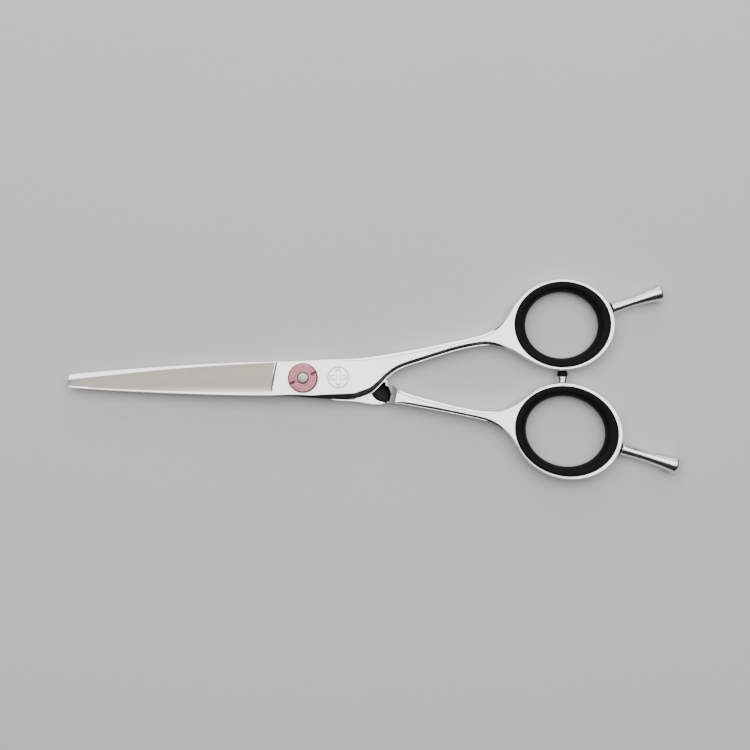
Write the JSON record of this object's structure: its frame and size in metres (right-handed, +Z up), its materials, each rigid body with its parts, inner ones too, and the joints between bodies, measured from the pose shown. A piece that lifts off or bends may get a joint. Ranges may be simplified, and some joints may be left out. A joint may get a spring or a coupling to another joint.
{
  "type": "hair cutting shears",
  "caption": "Hairdressing shears: two ground blades on a ball-race pivot with a tension dial, finger rings with rubber inserts, screw-in finger rests and a closing bumper.",
  "frame": {"origin": "on the pivot's axis, in the plane that the shears lie on, at the underside of the pivot screw's head", "axes": "+X along the handles, with the blade tips at -X; +Y towards the finger ring of the front half; +Z up, out of the tension dial"},
  "size_m": [0.154, 0.0503, 0.0065],
  "materials": {
    "polished_steel": "mirror-polished stainless steel with fine wiping marks",
    "satin_steel": "satin-turned stainless steel",
    "pink_anodised": "pink anodised aluminium, satin, with bright worn edges",
    "black_rubber": "matt black silicone rubber",
    "brass": "turned brass",
    "white_nylon": "natural nylon"
  },
  "bodies": {
    "back_half": {"back_blade": "polished_steel", "pivot_screw": "polished_steel", "click_plate": "brass", "tension_spring": "polished_steel", "lower_finger_insert": "black_rubber", "lower_finger_rest": "satin_steel", "lower_rest_washer": "black_rubber", "bumper_screw": "polished_steel", "bumper_tip": "black_rubber"},
    "front_half": {"front_blade": "polished_steel", "pivot_bush": "white_nylon", "upper_finger_insert": "black_rubber", "upper_finger_rest": "satin_steel", "upper_rest_washer": "black_rubber"},
    "ball_race": {"bearing_cage": "brass", "bearing_ball_01": "polished_steel", "bearing_ball_02": "polished_steel", "bearing_ball_03": "polished_steel", "bearing_ball_04": "polished_steel", "bearing_ball_05": "polished_steel", "bearing_ball_06": "polished_steel", "bearing_ball_07": "polished_steel", "bearing_ball_08": "polished_steel"},
    "dial": {"tension_dial": "pink_anodised", "dial_hub": "pink_anodised"}
  },
  "joints": [
    {"name": "shear_pivot", "type": "hinge", "parent": "back_half", "child": "front_half", "pos_m": [0, 0, 0.0025], "axis": [0, 0, 1], "range_deg": [0, 100]},
    {"name": "ball_race_turn", "type": "hinge", "parent": "back_half", "child": "ball_race", "pos_m": [0, 0, 0.0025], "axis": [0, 0, 1], "range_deg": [0, 50]},
    {"name": "dial_turn", "type": "hinge", "parent": "back_half", "child": "dial", "pos_m": [0, 0, 0.0063], "axis": [0, 0, 1], "range_deg": [-90, 90]}
  ],
  "couplings": [
    {"joint": "ball_race_turn", "follows": "shear_pivot", "ratio": 0.5}
  ]
}
